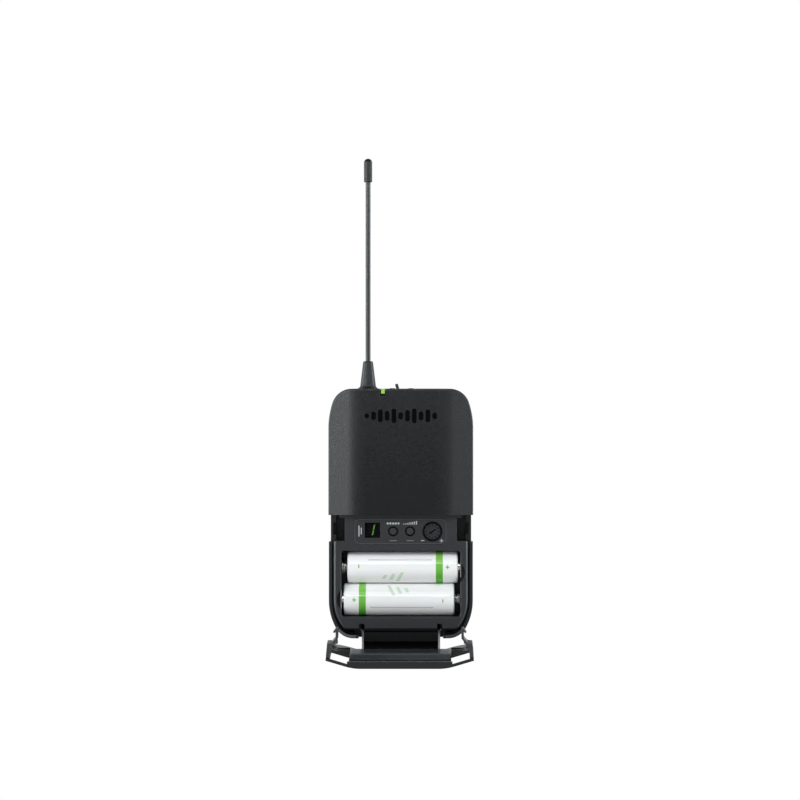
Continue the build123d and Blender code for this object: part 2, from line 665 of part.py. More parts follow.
# ================================================================ cells and their contacts
# each cell: steel can with its nub, printed jacket rolled over both ends, and an insulating ring round the nub
JACKET_T = 0.15
cell_parts = {}
for name, z, s in (("upper", CELL_Z_UP, 1), ("lower", CELL_Z_LOW, -1)):
    x_plus = 25.3 * s
    x_minus = x_plus - CELL_LEN * s
    axis_plane = Plane(origin=(0, CELL_Y, z), x_dir=(s, 0, 0), z_dir=(0, -s, 0))
    a, b = x_minus * s, x_plus * s
    with BuildPart() as jacket:
        with BuildSketch(axis_plane):
            with BuildLine():
                Polyline((a, 5.6), (a, 6.4))
                ThreePointArc((a, 6.4), (a + 0.22, 6.93), (a + 0.75, CELL_R))
                Line((a + 0.75, CELL_R), (b - 0.75, CELL_R))
                ThreePointArc((b - 0.75, CELL_R), (b - 0.22, 6.93), (b, 6.4))
                Polyline((b, 6.4), (b, 5.2), (b - JACKET_T, 5.2), (b - JACKET_T, 6.35))
                ThreePointArc((b - JACKET_T, 6.35), (b - 0.33, 6.82), (b - 0.8, CELL_R - JACKET_T))
                Line((b - 0.8, CELL_R - JACKET_T), (a + 0.8, CELL_R - JACKET_T))
                ThreePointArc((a + 0.8, CELL_R - JACKET_T), (a + 0.33, 6.82), (a + JACKET_T, 6.35))
                Polyline((a + JACKET_T, 6.35), (a + JACKET_T, 5.6), (a, 5.6))
            make_face()
        revolve(axis=Axis((0, CELL_Y, z), (1, 0, 0)))
    with BuildPart() as can:
        with BuildSketch(axis_plane):
            with BuildLine():
                Polyline((a + 0.2, 0), (a + 0.2, 6.3))
                ThreePointArc((a + 0.2, 6.3), (a + 0.38, 6.78), (a + 0.85, 6.97))
                Line((a + 0.85, 6.97), (b - 0.85, 6.97))
                ThreePointArc((b - 0.85, 6.97), (b - 0.38, 6.78), (b - 0.2, 6.3))
                Polyline((b - 0.2, 6.3), (b - 0.2, 5.1), (b - 0.75, 4.7), (b - 0.75, 3.2), (b - 0.3, 2.75), (b + 0.75, 2.75), (b + 0.95, 2.5), (b + 0.95, 0), (a + 0.2, 0))
            make_face()
        revolve(axis=Axis((0, CELL_Y, z), (1, 0, 0)))
    with BuildPart() as ring:
        with BuildSketch(axis_plane):
            with BuildLine():
                Polyline((b - 0.72, 3.3), (b - 0.72, 4.6), (b - 0.4, 4.85), (b - 0.4, 3.3), close=True)
            make_face()
        revolve(axis=Axis((0, CELL_Y, z), (1, 0, 0)))
    cell_parts["cell_%s_jacket" % name] = jacket.part
    cell_parts["cell_%s_can" % name] = can.part
    cell_parts["cell_%s_ring" % name] = ring.part

with BuildPart() as positive_plates:
    with BuildSketch(Plane.XZ.offset(5.1)):
        with Locations((26.5, CELL_Z_UP), (-26.5, CELL_Z_LOW)):
            Rectangle(0.35, 9.0)
    extrude(amount=8.2)
positive_plates.part.label = "positive_plates"

with BuildPart() as negative_plates:
    with BuildSketch(Plane.XZ.offset(5.1)):
        with Locations((-26.5, CELL_Z_UP), (26.5, CELL_Z_LOW)):
            Rectangle(0.35, 9.0)
    extrude(amount=8.2)
negative_plates.part.label = "negative_plates"

# conical coil springs, drawn compressed against the cells
WIRE_R = 0.28
springs = {}
for name, z, s in (("spring_upper", CELL_Z_UP, -1), ("spring_lower", CELL_Z_LOW, 1)):
    with BuildPart() as coil:
        with BuildLine() as path:
            turns = Helix(pitch=0.77, height=1.93, radius=3.1, center=(25.98 * s, CELL_Y, z), direction=(-s, 0, 0), cone_angle=-22)
        with BuildSketch(Plane(origin=turns @ 0, z_dir=turns % 0)):
            Circle(WIRE_R)
        sweep(is_frenet=True)
    springs[name] = coil.part

# ================================================================ hinge pins
with BuildPart() as hinge_pins:
    with BuildSketch(Plane.YZ.offset(14.6)):
        with Locations((HINGE_Y, HINGE_Z)):
            Circle(0.6)
    extrude(amount=5.5)
    with BuildSketch(Plane.YZ.offset(-20.1)):
        with Locations((HINGE_Y, HINGE_Z)):
            Circle(0.6)
    extrude(amount=5.5)
hinge_pins.part.label = "hinge_pins"

# ================================================================ battery door, drawn at its open stop: planes of the
# closed door are swung about the hinge
SWING = Location((0, HINGE_Y, HINGE_Z), (OPEN_DEG, 0, 0)) * Location((0, -HINGE_Y, -HINGE_Z))


def on_door(plane):
    return Plane(SWING * plane.location)


with BuildPart() as door_inside:
    with BuildSketch(on_door(Plane.XY.offset(-60))):
        front_section(DOOR_WALL, -10.0, 36)
    extrude(amount=62)

with BuildPart() as battery_door:
    with BuildSketch(on_door(Plane.XY.offset(-58))):
        front_section(0, -14.7, 36)
    extrude(amount=58 - 1.1)
    long_edges = [e for e in battery_door.edges() if e.length > 50 and abs(abs(e.center().X) - FACET_X) < 0.1]
    fillet(long_edges, 23)
    with BuildSketch(on_door(Plane.XZ.offset(8.5))):
        outline(0.8)
    with BuildSketch(on_door(Plane.XZ.offset(21.5))):
        outline(0.8 - DRAFT * 13)
    loft(ruled=True, mode=Mode.INTERSECT)
    add(door_inside.part, mode=Mode.SUBTRACT)
    # shallow side walls that meet the rear housing's skirt
    with BuildSketch(on_door(Plane.XZ.offset(14.7))):
        outline(0.16)
        with BuildLine():
            Polyline((-30.4, -60), (-30.4, -38), (-30.4, 0), (30.4, 0), (30.4, -38), (30.4, -60), close=True)
        make_face(mode=Mode.SUBTRACT)
        with Locations((0, -12.3 + 50)):
            Rectangle(100, 100, mode=Mode.SUBTRACT)
        with Locations((0, -39.5 - 50)):
            Rectangle(100, 100, mode=Mode.SUBTRACT)
    extrude(amount=1.9)
    with BuildSketch(on_door(Plane.XZ.offset(14.7))):
        outline(0.16)
        with Locations((0, -39.4 + 50)):
            Rectangle(100, 100, mode=Mode.SUBTRACT)
        with Locations((0, -49.5 - 50)):
            Rectangle(100, 100, mode=Mode.SUBTRACT)
        with BuildLine():
            CenterArc(BC1, BR1 - 1.55, -60, 60)
            Polyline((BC1[0] + BR1 - 1.55, BC1[1]), (BC1[0] + BR1 - 1.55, -30), (-BC1[0] - BR1 + 1.55, -30), (-BC1[0] - BR1 + 1.55, BC1[1]))
            CenterArc((-BC1[0], BC1[1]), BR1 - 1.55, 180, 60)
            Line((-BC1[0] + (BR1 - 1.55) * math.cos(math.radians(240)), BC1[1] + (BR1 - 1.55) * math.sin(math.radians(240))),
                 (BC1[0] + (BR1 - 1.55) * math.cos(math.radians(-60)), BC1[1] + (BR1 - 1.55) * math.sin(math.radians(-60))))
        make_face(mode=Mode.SUBTRACT)
    extrude(amount=1.9)
    # lip along the free end
    with BuildSketch(on_door(Plane.XZ.offset(17.9))):
        with Locations((0, -1.9)):
            Rectangle(45.6, 1.6)
    extrude(amount=1.9)
    # pressure pad over the cells
    with BuildSketch(on_door(Plane.YZ.offset(-21.6))):
        with BuildLine():
            Polyline((-20.3, -24.6), (-18.0, -24.6), (-17.65, -25.0), (-17.65, -39.6), (-18.0, -40.2), (-20.3, -40.2), close=True)
        make_face()
    extrude(amount=43.2)
    # ribs across the facets behind the windows
    for sx in (-1, 1):
        for z in (-31.6, -36.4, -42.05):
            with BuildSketch(on_door(Plane.XY.offset(z))):
                with BuildLine():
                    Polyline((sx * 22.3, -19.75), (sx * 22.3, -17.25), (sx * 28.9, -17.25), (sx * 28.9, -17.78), close=True)
                make_face()
            extrude(amount=0.9)
    # windows in the facets
    with BuildSketch(on_door(Plane.XZ.offset(12))):
        with Locations((26.3, -16.2), (-26.3, -16.2)):
            RectangleRounded(8.0, 27.6, 0.6)
    extrude(amount=12, mode=Mode.SUBTRACT)
    # thinned skin round the windows
    with BuildSketch(on_door(Plane.XY.offset(-30.3))):
        for sx in (-1, 1):
            with BuildLine():
                Polyline((sx * 22.9, -19.47), (sx * 30.35, -17.24), (sx * 30.35, -16.95), (sx * 27.0, -16.6), (sx * 22.9, -16.6), close=True)
            make_face()
    extrude(amount=27.4, mode=Mode.SUBTRACT)
    # hinge wall: a stepped web between two flanges, and the barrel
    with BuildSketch(on_door(Plane.YZ.offset(-16.6))):
        with BuildLine():
            Polyline((-19.9, -55.4), (-9.85, -55.4), (-9.85, HINGE_Z), (-11.35, HINGE_Z), (-11.35, -53.7), (-15.9, -53.7), (-15.9, -54.75), (-19.9, -54.75), close=True)
        make_face()
    extrude(amount=33.2)
    for x0 in (-17.4, 16.6):
        with BuildSketch(on_door(Plane.YZ.offset(x0))):
            with BuildLine():
                Polyline((-19.9, -55.4), (-9.85, -55.4), (-9.85, HINGE_Z), (-11.35, HINGE_Z), (-11.75, -53.2), (-19.9, -53.2), close=True)
            make_face()
        extrude(amount=0.8)
    with BuildSketch(on_door(Plane.YZ.offset(-17.4))):
        with Locations((HINGE_Y, HINGE_Z)):
            Circle(1.25)
    extrude(amount=34.8)
    with BuildSketch(on_door(Plane.YZ.offset(14.4))):
        with Locations((HINGE_Y, HINGE_Z)):
            Circle(0.64)
    extrude(amount=4, mode=Mode.SUBTRACT)
    with BuildSketch(on_door(Plane.YZ.offset(-18.4))):
        with Locations((HINGE_Y, HINGE_Z)):
            Circle(0.64)
    extrude(amount=4, mode=Mode.SUBTRACT)
battery_door.part.label = "battery_door"

# ================================================================ latch tabs: grip block, arm and hook on each side
tabs = {}
for name, s in (("latch_tab_right", 1), ("latch_tab_left", -1)):
    with BuildPart() as tab:
        with BuildSketch(on_door(Plane.XY.offset(-12.0))):
            with BuildLine():
                Polyline((s * 31.95, -15.8), (s * 31.4, -9.9), (s * 28.4, -9.9), (s * 28.4, -10.7), (s * 30.0, -11.1), (s * 30.4, -16.2), close=True)
            make_face()
        extrude(amount=10.75)
        with BuildSketch(on_door(Plane.XY.offset(-11.8))):
            with BuildLine():
                Polyline((s * 26.7, -4.0), (s * 26.7, -8.05), (s * 28.4, -10.25), (s * 29.4, -10.25), (s * 29.4, -9.9), (s * 27.75, -8.0), (s * 27.75, -4.0), close=True)
            make_face()
        extrude(amount=8.8)
        with BuildSketch(on_door(Plane.XY.offset(-9.6))):
            with BuildLine():
                Polyline((s * 27.0, -4.6), (s * 28.3, -6.0), (s * 28.9, -5.6), (s * 27.55, -3.75), (s * 26.9, -3.75), close=True)
            make_face()
        extrude(amount=4.2)
    tabs[name] = tab.part

# ================================================================ wire belt clip
CLIP_R = 1.0
with BuildPart() as belt_clip:
    with BuildLine() as wire:
        FilletPolyline(
            (-19.2, 2.3, 31), (-12.2, 2.3, 31), (-12.2, 8.2, 27), (-12.2, 8.2, 2), (-12.2, 3.4, -26), (-12.2, 7.0, -35),
            (12.2, 7.0, -35), (12.2, 3.4, -26), (12.2, 8.2, 2), (12.2, 8.2, 27), (12.2, 2.3, 31), (19.2, 2.3, 31), radius=1.9)
    with BuildSketch(Plane(origin=wire.wire() @ 0, z_dir=(1, 0, 0))):
        Circle(CLIP_R)
    sweep(path=wire.wire())
belt_clip.part.label = "belt_clip"

# ================================================================ write one STEP per piece
pieces = {
    "rear_housing": rear_housing.part, "chassis_frame": chassis_frame.part, "top_cover": top_cover.part,
    "front_mark": front_mark.part, "panel_overlay": panel_overlay.part, "display_window": display_window.part,
    "display_module": display_module.part, "digit_segments": digit_segments.part, "group_button": group_button.part,
    "channel_button": channel_button.part, "group_switch": group_switch.part, "channel_switch": channel_switch.part,
    "gain_dial": gain_dial.part, "gain_pot_body": gain_pot_body.part, "main_board": main_board.part,
    "rf_shield": rf_shield.part, "board_chips": board_chips.part, "status_led": status_led.part,
    "light_pipe": light_pipe.part, "power_switch_body": power_switch_body.part, "power_lever": power_lever.part,
    "jack_sleeve": jack_sleeve.part, "jack_insert": jack_insert.part, "jack_pins": jack_pins.part,
    "jack_nut": jack_nut.part, "aerial_socket": aerial_socket.part, "aerial_boot": aerial_boot.part,
    "aerial_whip": aerial_whip.part, "aerial_tip": aerial_tip.part, "housing_screws": housing_screws.part,
    "board_screws": board_screws.part, "positive_plates": positive_plates.part, "negative_plates": negative_plates.part,
    "hinge_pins": hinge_pins.part, "battery_door": battery_door.part, "belt_clip": belt_clip.part,
    **cell_parts, **springs, **tabs,
}
for name, piece in pieces.items():
    piece.label = name
    export_step(piece, "parts/%s.step" % name)
    print(name, len(piece.solids()), round(piece.volume, 1))
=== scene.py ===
import math

import bmesh
import bpy
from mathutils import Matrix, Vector


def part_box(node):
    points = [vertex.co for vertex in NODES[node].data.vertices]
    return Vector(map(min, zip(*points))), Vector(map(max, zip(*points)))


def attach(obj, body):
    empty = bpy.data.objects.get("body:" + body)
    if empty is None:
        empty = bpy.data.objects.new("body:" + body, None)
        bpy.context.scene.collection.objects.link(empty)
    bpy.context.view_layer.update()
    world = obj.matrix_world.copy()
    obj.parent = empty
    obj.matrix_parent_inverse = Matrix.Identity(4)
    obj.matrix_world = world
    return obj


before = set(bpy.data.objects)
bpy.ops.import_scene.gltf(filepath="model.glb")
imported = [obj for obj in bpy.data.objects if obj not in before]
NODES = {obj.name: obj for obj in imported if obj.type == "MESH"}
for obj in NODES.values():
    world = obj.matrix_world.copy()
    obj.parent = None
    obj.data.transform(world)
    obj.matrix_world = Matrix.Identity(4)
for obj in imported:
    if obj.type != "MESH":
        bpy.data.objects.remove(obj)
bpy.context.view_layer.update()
MM = 0.001
scene = bpy.context.scene
scene.view_settings.view_transform = "Standard"
scene.view_settings.look = "None"


# ------------------------------------------------------------------ node helpers
class Tree:
    """Short calls for building a material's nodes."""

    def __init__(self, name):
        self.mat = bpy.data.materials.new(name)
        self.mat.use_nodes = True
        self.t = self.mat.node_tree
        self.t.nodes.clear()
        self.out = self.t.nodes.new("ShaderNodeOutputMaterial")
        self.bsdf = self.t.nodes.new("ShaderNodeBsdfPrincipled")
        self.t.links.new(self.bsdf.outputs[0], self.out.inputs[0])
        self.coord = self.t.nodes.new("ShaderNodeTexCoord").outputs["Object"]

    def link(self, a, b):
        self.t.links.new(a, b)

    def _in(self, socket, value):
        if hasattr(value, "is_linked") or hasattr(value, "links"):
            self.t.links.new(value, socket)
        else:
            socket.default_value = value

    def math(self, op, a, b=0.0, c=0.0, clamp=False):
        n = self.t.nodes.new("ShaderNodeMath")
        n.operation, n.use_clamp = op, clamp
        for s, v in zip(n.inputs, (a, b, c)):
            self._in(s, v)
        return n.outputs[0]

    def noise(self, scale, detail=2.0, rough=0.5, vec=None):
        n = self.t.nodes.new("ShaderNodeTexNoise")
        n.inputs["Scale"].default_value = scale
        n.inputs["Detail"].default_value = detail
        n.inputs["Roughness"].default_value = rough
        self.link(vec or self.coord, n.inputs["Vector"])
        return n.outputs["Fac"]

    def voronoi(self, scale):
        n = self.t.nodes.new("ShaderNodeTexVoronoi")
        n.inputs["Scale"].default_value = scale
        self.link(self.coord, n.inputs["Vector"])
        return n.outputs["Distance"]

    def ramp(self, value, a, b, lo=0.0, hi=1.0):
        n = self.t.nodes.new("ShaderNodeMapRange")
        n.inputs["From Min"].default_value, n.inputs["From Max"].default_value = a, b
        n.inputs["To Min"].default_value, n.inputs["To Max"].default_value = lo, hi
        self.link(value, n.inputs["Value"])
        return n.outputs["Result"]

    def mix(self, fac, a, b):
        n = self.t.nodes.new("ShaderNodeMix")
        n.data_type = "RGBA"
        self._in(n.inputs[0], fac)
        self._in(n.inputs[6], a)
        self._in(n.inputs[7], b)
        return n.outputs[2]

    def xyz(self):
        n = self.t.nodes.new("ShaderNodeSeparateXYZ")
        self.link(self.coord, n.inputs[0])
        return n.outputs

    def bevel(self, radius):
        n = self.t.nodes.new("ShaderNodeBevel")
        n.samples = 4
        n.inputs["Radius"].default_value = radius
        return n.outputs[0]

    def bump(self, height, strength, distance, normal=None):
        n = self.t.nodes.new("ShaderNodeBump")
        n.inputs["Strength"].default_value = strength
        n.inputs["Distance"].default_value = distance
        self.link(height, n.inputs["Height"])
        if normal is not None:
            self.link(normal, n.inputs["Normal"])
        return n.outputs[0]

    def edge_mask(self, bevelled, gain):
        """1 along edges, where the rounded normal leaves the flat one."""
        g = self.t.nodes.new("ShaderNodeNewGeometry").outputs["Normal"]
        d = self.t.nodes.new("ShaderNodeVectorMath")
        d.operation = "DOT_PRODUCT"
        self.link(g, d.inputs[0])
        self.link(bevelled, d.inputs[1])
        return self.math("MULTIPLY", self.math("SUBTRACT", 1.0, d.outputs["Value"]), gain, clamp=True)


def rgb(r, g, b, a=1.0):
    """Linear colour of an sRGB one."""
    f = lambda c: c / 12.92 if c <= 0.04045 else ((c + 0.055) / 1.055) ** 2.4
    return (f(r / 255), f(g / 255), f(b / 255), a)


def moulded(name, base, rough=0.5, grain=2600, depth=0.45, edge=0.14 * MM, edge_wear_and_highlight=0.5, spec=0.5, painted_middle_shade=None, polish_and_shade=None, painted_highlight=None, outside=None):
    """Spark-eroded moulded plastic: fine grain, slow tone variation, softened edges that are painted lighter, partly as
    worn edges and partly as a painted highlight.
    painted_middle_shade: (z low, z high, finish low, finish high) for a smoother middle with painted shade, darker
    towards the bottom. polish_and_shade: mask of areas painted near-black as shade, and made glossier.
    painted_highlight: mask of areas painted paler as a highlight. outside: mask of outer faces, which are rougher and
    carry on the cover's painted shade and smoother finish in their middle."""
    k = Tree(name)
    slow = k.noise(70, 3)
    tone = k.mix(slow, tuple(c * 0.86 for c in base[:3]) + (1,), tuple(c * 1.14 for c in base[:3]) + (1,))
    bev = k.bevel(edge)
    # edges mixed towards a lighter colour: partly worn edges, partly a painted highlight
    mask = k.math("MULTIPLY", k.edge_mask(bev, 3.0), edge_wear_and_highlight)
    col = k.mix(mask, tone, tuple(min(1, c * 3.2 + 0.03) for c in base[:3]) + (1,))
    r = k.ramp(k.noise(grain * 0.35, 2), 0.3, 0.7, rough - 0.03, rough + 0.04)
    # painted shade: the middle is mixed towards near-black, darker towards the bottom, and made smoother; the sides
    # keep their colour
    if painted_middle_shade:
        z0, z1, lo, hi = painted_middle_shade
        x, y, z = k.xyz()
        side = k.ramp(k.math("ABSOLUTE", x), 15 * MM, 24 * MM)
        middle = k.ramp(z, z0, z1, lo, hi)
        keep = k.math("ADD", k.math("MULTIPLY", side, k.math("SUBTRACT", 1.0, middle)), middle)
        col = k.mix(keep, (0.001, 0.0012, 0.0013, 1), col)
        r = k.math("SUBTRACT", r, k.math("MULTIPLY", k.math("SUBTRACT", 1.0, keep), 0.34))
    if outside:
        out = outside(k)
        x, y, z = k.xyz()
        side = k.ramp(k.math("ABSOLUTE", x), 15 * MM, 24 * MM)
        # painted shade: the middle of the outer faces is mixed towards near-black, as on the cover
        outer_shade = k.math("MULTIPLY", out, k.math("MULTIPLY", k.math("SUBTRACT", 1.0, side), 0.54))
        col = k.mix(outer_shade, col, (0.001, 0.0012, 0.0013, 1))
        r = k.math("ADD", r, k.math("MULTIPLY", out, 0.075))
        r = k.math("SUBTRACT", r, k.math("MULTIPLY", outer_shade, 0.34))
    # painted shade: masked areas mixed towards near-black, and made glossier
    if polish_and_shade:
        dark = polish_and_shade(k)
        col = k.mix(dark, col, (0.0008, 0.0008, 0.001, 1))
        r = k.math("SUBTRACT", r, k.math("MULTIPLY", dark, rough - 0.13))
    # painted highlight: masked areas mixed towards a light grey
    if painted_highlight:
        col = k.mix(painted_highlight(k), col, (0.66, 0.70, 0.73, 1))
    k.link(col, k.bsdf.inputs["Base Color"])
    k.bsdf.inputs["Specular IOR Level"].default_value = spec
    fine = k.noise(grain, 2, 0.6)
    cells = k.voronoi(grain * 0.7)
    height = k.math("ADD", fine, k.math("MULTIPLY", cells, 0.6))
    if outside:
        height = k.math("MULTIPLY", height, k.math("ADD", 0.035, k.math("MULTIPLY", out, 0.965)))
    k.link(k.bump(height, depth, 0.00006, bev), k.bsdf.inputs["Normal"])
    k.link(r, k.bsdf.inputs["Roughness"])
    return k.mat


def span(k, v, lo, hi):
    """1 where lo < v < hi."""
    return k.math("COMPARE", v, (lo + hi) / 2 * MM, (hi - lo) / 2 * MM)


def door_outside(k):
    """The door's outer faces, which point down while it is open."""
    n = k.t.nodes.new("ShaderNodeSeparateXYZ")
    tc = k.t.nodes.new("ShaderNodeTexCoord")
    k.link(tc.outputs["Normal"], n.inputs[0])
    return k.math("LESS_THAN", n.outputs[2], -0.25)


def dial_recess_shade(k):
    """Painted shade: the dimples and the arrow sunk in the dial's face, and the dial's rim, standing in for the shaded
    gap round the dial, all made near-black.
    """
    x, y, z = k.xyz()
    dx, dz = k.math("SUBTRACT", x, 14.0 * MM), k.math("SUBTRACT", z, -8.3 * MM)
    r2 = k.math("ADD", k.math("MULTIPLY", dx, dx), k.math("MULTIPLY", dz, dz))
    inside = k.math("LESS_THAN", r2, (3.45 * MM) ** 2)
    sunk = k.math("MULTIPLY", inside, k.math("GREATER_THAN", y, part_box("gain_dial")[0][1] + 0.06 * MM))
    return k.math("MAXIMUM", sunk, k.math("GREATER_THAN", r2, (3.5 * MM) ** 2))


def up_facing_highlight(k):
    """Painted highlight, a paler colour on faces inside the open door: the pad's top and front wall, and the end lip.
    """
    n = k.t.nodes.new("ShaderNodeSeparateXYZ")
    tc = k.t.nodes.new("ShaderNodeTexCoord")
    k.link(tc.outputs["Normal"], n.inputs[0])
    x, y, z = k.xyz()
    ax = k.math("ABSOLUTE", x)
    both = lambda a, b: k.math("MULTIPLY", a, b)
    up = both(k.math("GREATER_THAN", n.outputs[2], 0.7), span(k, ax, -1, 22.9))
    ahead = both(k.math("LESS_THAN", n.outputs[1], -0.7), span(k, ax, -1, 21.7))
    top = both(both(up, span(k, y, -37.2, -9)), k.math("ADD", 0.045, both(span(k, ax, 17.5, 21.7), 0.10)))
    foot = both(both(up, span(k, y, -40.4, -37.2)), 0.06)
    lip = both(both(up, span(k, y, -61.5, -58.6)), 0.16)
    wall = both(both(ahead, span(k, y, -38.2, -36.2)), 0.085)
    return k.math("ADD", k.math("ADD", top, foot), k.math("ADD", lip, wall))


# painted highlight: the flange edges and the faces inside the open door
def painted_highlight_parts(k):
    return k.math("MAXIMUM", flange_edge_highlight(k), up_facing_highlight(k))


def web_and_floor_shade(k):
    """Painted shade: the lower half of the hinge wall between its flanges, and the deep floor of the open door, made
    near-black.
    """
    x, y, z = k.xyz()
    web = k.math("MULTIPLY", span(k, x, -16.5, 16.5), span(k, z, -60.9, -57.55))
    floor = k.math("MULTIPLY", span(k, x, -22.9, 22.9), span(k, y, -58.6, -40.4))
    n = k.t.nodes.new("ShaderNodeSeparateXYZ")
    tc = k.t.nodes.new("ShaderNodeTexCoord")
    k.link(tc.outputs["Normal"], n.inputs[0])
    floor = k.math("MULTIPLY", floor, k.math("GREATER_THAN", n.outputs[2], 0.7))
    return k.math("MAXIMUM", web, floor)


def flange_edge_highlight(k):
    """Painted highlight on the front edges of the two flanges at the ends of the hinge wall."""
    x, y, z = k.xyz()
    ax = k.math("ABSOLUTE", x)
    n = k.t.nodes.new("ShaderNodeSeparateXYZ")
    tc = k.t.nodes.new("ShaderNodeTexCoord")
    k.link(tc.outputs["Normal"], n.inputs[0])
    front = k.math("LESS_THAN", n.outputs[1], -0.3)
    strip = k.math("MULTIPLY", k.math("MULTIPLY", span(k, ax, 16.5, 17.6), span(k, z, -60.9, -52.6)), front)
    return k.math("MULTIPLY", strip, 0.7)


def metal(name, base, rough=0.25, brushed=None, edge=0.06 * MM):
    """Plated or drawn metal with fine streaks or a light mottling."""
    k = Tree(name)
    k.bsdf.inputs["Metallic"].default_value = 1.0
    stretch = k.t.nodes.new("ShaderNodeMapping")
    stretch.inputs["Scale"].default_value = brushed or (1, 1, 1)
    k.link(k.coord, stretch.inputs["Vector"])
    streak = k.noise(1800 if brushed else 900, 3, 0.6, stretch.outputs[0])
    k.link(k.ramp(streak, 0.3, 0.7, max(0.04, rough - 0.08), rough + 0.1), k.bsdf.inputs["Roughness"])
    k.link(k.mix(k.noise(160, 2), tuple(c * 0.9 for c in base[:3]) + (1,), tuple(base[:3]) + (1,)), k.bsdf.inputs["Base Color"])
    k.link(k.bump(streak, 0.12, 0.00001, k.bevel(edge)), k.bsdf.inputs["Normal"])
    return k.mat


def glossy(name, base, rough=0.2, coat=0.0, edge=0.08 * MM):
    k = Tree(name)
    k.link(k.mix(k.noise(140, 2), tuple(c * 0.92 for c in base[:3]) + (1,), tuple(min(1, c * 1.06) for c in base[:3]) + (1,)), k.bsdf.inputs["Base Color"])
    k.link(k.ramp(k.noise(900, 2), 0.3, 0.7, max(0.03, rough - 0.04), rough + 0.05), k.bsdf.inputs["Roughness"])
    k.link(k.bump(k.noise(500, 2), 0.05, 0.00002, k.bevel(edge)), k.bsdf.inputs["Normal"])
    k.bsdf.inputs["Coat Weight"].default_value = coat
    k.bsdf.inputs["Coat Roughness"].default_value = 0.06
    return k.mat


def lit(name, base, colour, strength):
    k = Tree(name)
    k.link(k.mix(k.noise(900, 2), tuple(c * 0.8 for c in base[:3]) + (1,), tuple(base[:3]) + (1,)), k.bsdf.inputs["Base Color"])
    k.bsdf.inputs["Roughness"].default_value = 0.25
    k.bsdf.inputs["Emission Color"].default_value = colour
    k.bsdf.inputs["Emission Strength"].default_value = strength
    return k.mat


def jacket(name, zc, s):
    """Printed white cell jacket. s is +1 when the positive end points to +X. The print turns to the front."""
    k = Tree(name)
    x, y, z = k.xyz()
    X = lambda v: v * s * MM
    near = lambda a, c, h: k.math("COMPARE", a, c, h)
    both = lambda a, b: k.math("MULTIPLY", a, b)
    either = lambda a, b: k.math("MAXIMUM", a, b)
    front = k.math("LESS_THAN", y, -9.3 * MM)
    band = near(x, X(17.06), 1.56 * MM)
    pz = (zc + 0.05) * MM
    plus = either(both(near(x, X(20.7), 0.85 * MM), near(z, pz, 0.24 * MM)), both(near(x, X(20.7), 0.24 * MM), near(z, pz, 0.85 * MM)))
    minus = both(near(x, X(-18.6), 0.26 * MM), near(z, pz + 0.5 * MM * s, 0.8 * MM))
    marks = both(either(plus, minus), front)
    # three pale slanted bars, and a thin rule, in place of any picture or print
    lean = k.math("SUBTRACT", x, k.math("MULTIPLY", z, 0.55 * s))
    cz = zc * MM
    bars = 0
    base_lean = -cz * 0.55 * s
    for i, h in ((-1, 0.7), (0, 1.1), (1, 1.6)):
        b = both(near(lean, base_lean + X(-1.5 + 3.4 * i), 0.75 * MM), near(z, cz - s * 4.2 * MM, h * 1.3 * MM))
        bars = b if isinstance(bars, int) else either(bars, b)
    bars = both(bars, front)
    rule = both(both(near(z, cz + s * 3.3 * MM, 0.2 * MM), near(x, X(-0.4), 14.0 * MM)), front)
    white = k.mix(k.noise(60, 1), (0.85, 0.85, 0.845, 1), (0.875, 0.875, 0.87, 1))
    col = k.mix(k.math("MULTIPLY", bars, 0.42), white, rgb(120, 190, 110))
    col = k.mix(k.math("MULTIPLY", rule, 0.55), col, rgb(120, 128, 138))
    grad = k.mix(k.ramp(z, cz - 7 * MM, cz + 7 * MM), rgb(78, 168, 44), rgb(132, 196, 88))
    col = k.mix(band, col, grad)
    col = k.mix(marks, col, rgb(112, 186, 62))
    k.link(col, k.bsdf.inputs["Base Color"])
    k.link(k.ramp(k.noise(1500, 2), 0.3, 0.7, 0.3, 0.34), k.bsdf.inputs["Roughness"])
    k.bsdf.inputs["Specular IOR Level"].default_value = 0.08
    k.bsdf.inputs["Coat Weight"].default_value = 0.6
    k.bsdf.inputs["Coat Roughness"].default_value = 0.02
    k.link(k.bump(k.noise(60, 1), 0.02, 0.00002), k.bsdf.inputs["Normal"])
    return k.mat


# ------------------------------------------------------------------ materials of the CAD nodes
CHARCOAL = rgb(22, 26, 28)
INNER = rgb(31, 34, 37)
# cover: painted shade darkens its middle, more towards the bottom
mat_cover = moulded("moulded_cover", rgb(19, 22, 24), 0.375, 2100, 0.62, 0.3 * MM, 0.5, 0.5, painted_middle_shade=(-4 * MM, 44 * MM, 0.46, 0.80))
mat_rear = moulded("moulded_rear", CHARCOAL, 0.36, 1700, 0.4, 0.45 * MM, edge_wear_and_highlight=0.9)
# door: painted shade on the hinge wall's lower half and deep floor, painted highlights on the flange edges and inner
# faces, and the cover's painted shade carried on over its outer middle
mat_door = moulded("moulded_door", rgb(17, 19, 21), 0.3, 3200, 0.62, 0.22 * MM, edge_wear_and_highlight=0.9, spec=0.42, polish_and_shade=web_and_floor_shade, painted_highlight=painted_highlight_parts, outside=door_outside)
mat_chassis = moulded("moulded_chassis", INNER, 0.44, 3200, 0.25, 0.3 * MM, edge_wear_and_highlight=0.9)
mat_tab = moulded("moulded_tab", rgb(46, 49, 52), 0.34, 3200, 0.02, 0.22 * MM, edge_wear_and_highlight=0.9)
mat_panel = moulded("panel_film", rgb(30, 32, 34), 0.45, 4200, 0.12, edge_wear_and_highlight=0.3)
mat_button = moulded("key_plastic", rgb(36, 38, 40), 0.42, 4200, 0.12, 0.1 * MM)
